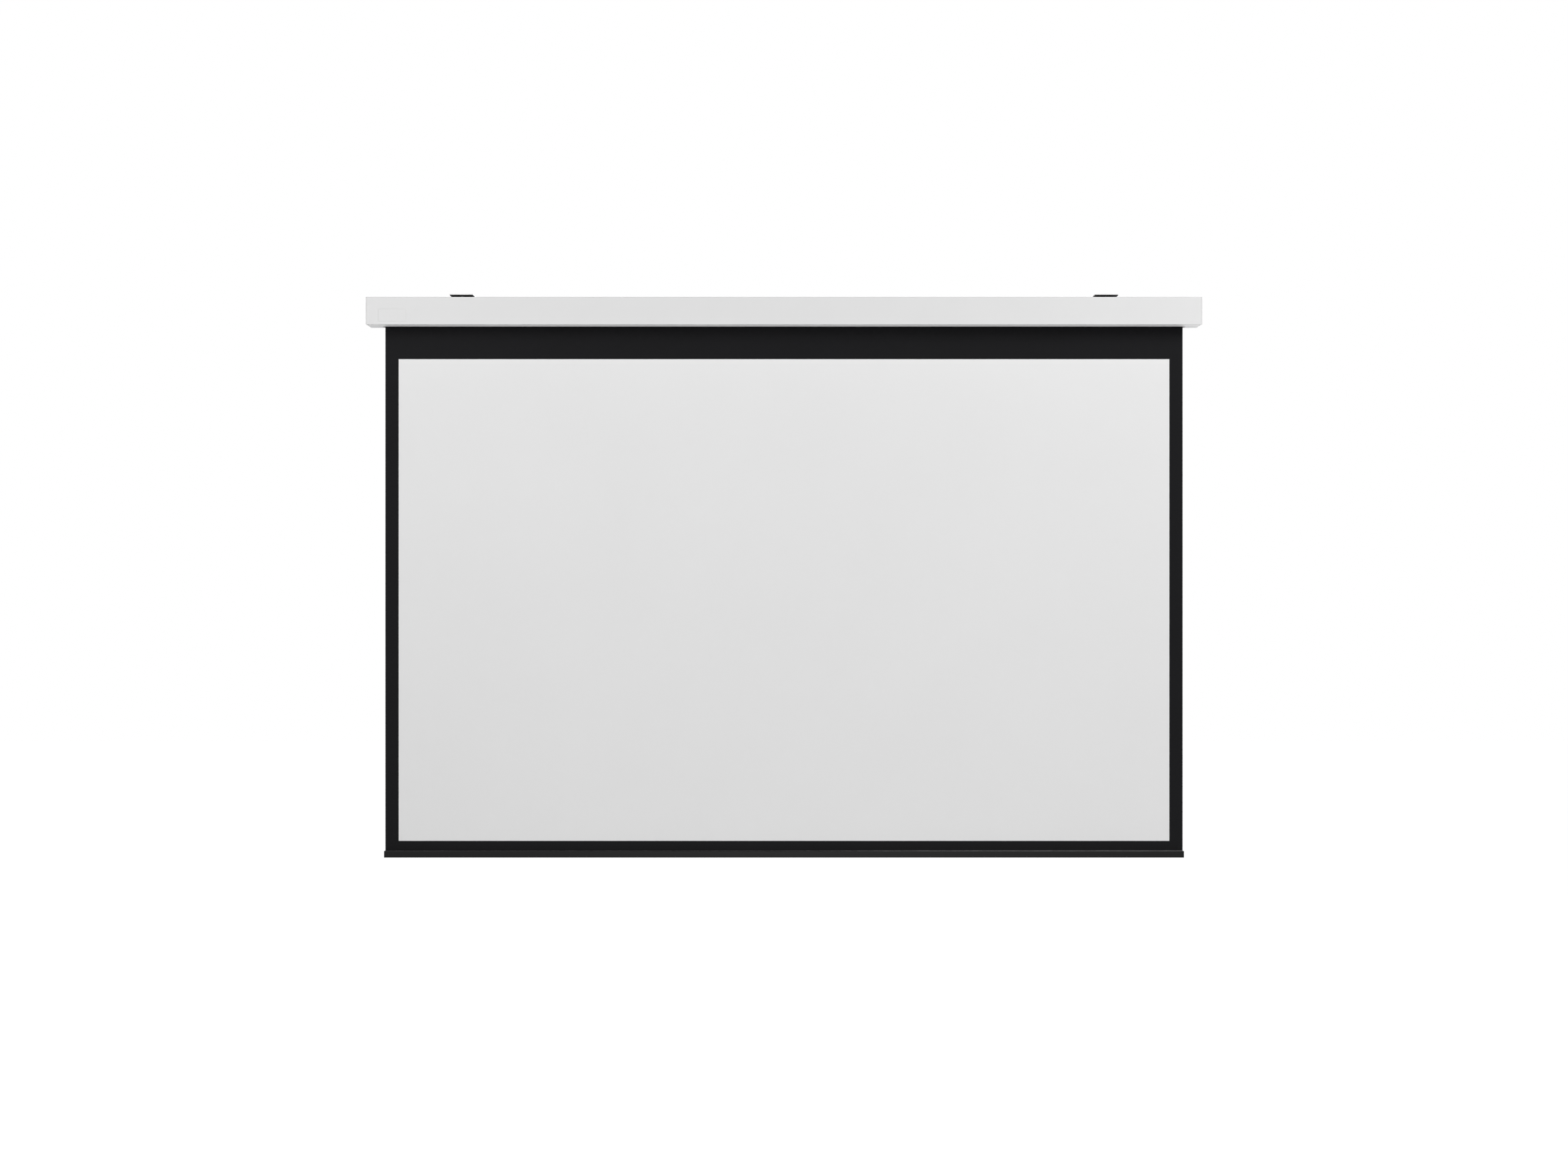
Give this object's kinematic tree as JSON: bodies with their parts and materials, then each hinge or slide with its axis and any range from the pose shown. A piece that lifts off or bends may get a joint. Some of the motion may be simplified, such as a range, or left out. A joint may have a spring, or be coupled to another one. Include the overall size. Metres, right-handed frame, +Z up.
{
  "type": "motorized projection screen",
  "caption": "Motorized projection screen with a white case on brackets, a black bordered fabric wound on a motor roller and a weighted bottom bar.",
  "frame": {"origin": "midway between the two hanging brackets, where the wall plane behind them (y = 0) meets the ceiling plane on top of them (z = 0)", "axes": "+X along the case to the right as the viewer sees it, +Y into the wall, +Z up; the screen hangs down to about z = -1.69 m"},
  "size_m": [2.494, 0.096, 1.6902],
  "materials": {
    "white_coated_aluminium": "satin",
    "white_coated_steel": "satin",
    "white_abs": "satin",
    "black_fabric": "matte",
    "white_fabric": "matte",
    "black_aluminium": "satin",
    "black_nylon": "satin",
    "black_rubber": "matte",
    "bare_aluminium": "satin",
    "zinc_steel": "satin",
    "grey_steel": "satin",
    "grey_coated_steel": "satin",
    "pale_nylon": "satin",
    "grey_plastic": "satin",
    "copper_winding": "satin"
  },
  "bodies": {
    "case": {"case_body": "white_coated_aluminium", "front_cover": "white_coated_aluminium", "blank_plate": "white_abs", "left_end_cap": "white_abs", "right_end_cap": "white_abs", "left_end_cap_screw_1": "zinc_steel", "left_end_cap_screw_2": "zinc_steel", "left_end_cap_screw_3": "zinc_steel", "left_end_cap_screw_4": "zinc_steel", "right_end_cap_screw_1": "zinc_steel", "right_end_cap_screw_2": "zinc_steel", "right_end_cap_screw_3": "zinc_steel", "right_end_cap_screw_4": "zinc_steel", "motor_bracket": "white_coated_steel", "idler_bracket": "white_coated_steel", "slot_filler_left": "white_abs", "slot_filler_right": "white_abs", "motor_head": "black_nylon", "motor_head_screw_1": "zinc_steel", "motor_head_screw_2": "zinc_steel", "motor_tube": "grey_steel", "limit_switch_unit": "pale_nylon", "capacitor": "grey_plastic", "motor_unit": "copper_winding", "brake_unit": "grey_steel", "gearbox": "zinc_steel", "power_inlet": "black_nylon", "motor_lead": "black_rubber", "idler_bush": "pale_nylon", "idler_bush_screw_1": "zinc_steel", "idler_bush_screw_2": "zinc_steel", "screen_fabric": "black_fabric", "projection_surface": "white_fabric"},
    "roller": {"roller_tube": "bare_aluminium", "fabric_key_strip": "pale_nylon", "fabric_turns": "black_fabric", "limit_crown": "black_nylon", "drive_wheel": "black_nylon", "output_shaft": "zinc_steel", "idler_plug": "black_nylon", "idler_pin": "zinc_steel"},
    "bottom_bar": {"bar_profile": "black_aluminium", "hem_rod": "black_fabric", "ballast_rod": "grey_steel", "bar_end_cap_left": "black_nylon", "bar_end_cap_right": "black_nylon"},
    "bracket_left": {"bracket_left_plate": "grey_coated_steel", "bracket_left_pad": "black_rubber", "bracket_left_stud": "zinc_steel", "bracket_left_nut": "zinc_steel"},
    "bracket_right": {"bracket_right_plate": "grey_coated_steel", "bracket_right_pad": "black_rubber", "bracket_right_stud": "zinc_steel", "bracket_right_nut": "zinc_steel"},
    "limit_adjuster_up": {"limit_screw_up": "pale_nylon"},
    "limit_adjuster_down": {"limit_screw_down": "pale_nylon"}
  },
  "joints": [
    {"name": "screen_drop", "type": "slide", "parent": "case", "child": "bottom_bar", "axis": [0, 0, 1], "range_m": [0, 1.5972], "deforming": ["screen_fabric", "projection_surface"]},
    {"name": "roller_spin", "type": "hinge", "parent": "case", "child": "roller", "pos_m": [0, -0.05713, -0.05], "axis": [1, 0, 0], "range_deg": [0, 3440]},
    {"name": "bracket_left_slide", "type": "slide", "parent": "case", "child": "bracket_left", "axis": [1, 0, 0], "range_m": [-0.22, 0.55]},
    {"name": "bracket_right_slide", "type": "slide", "parent": "case", "child": "bracket_right", "axis": [1, 0, 0], "range_m": [-0.55, 0.22]},
    {"name": "limit_up_turn", "type": "hinge", "parent": "case", "child": "limit_adjuster_up", "pos_m": [-1.2295, -0.06413, -0.0667], "axis": [0, 0, 1], "continuous": true},
    {"name": "limit_down_turn", "type": "hinge", "parent": "case", "child": "limit_adjuster_down", "pos_m": [-1.2295, -0.05013, -0.0667], "axis": [0, 0, 1], "continuous": true}
  ],
  "couplings": [
    {"joint": "roller_spin", "follows": "screen_drop", "rad_per_m": 37.559}
  ]
}
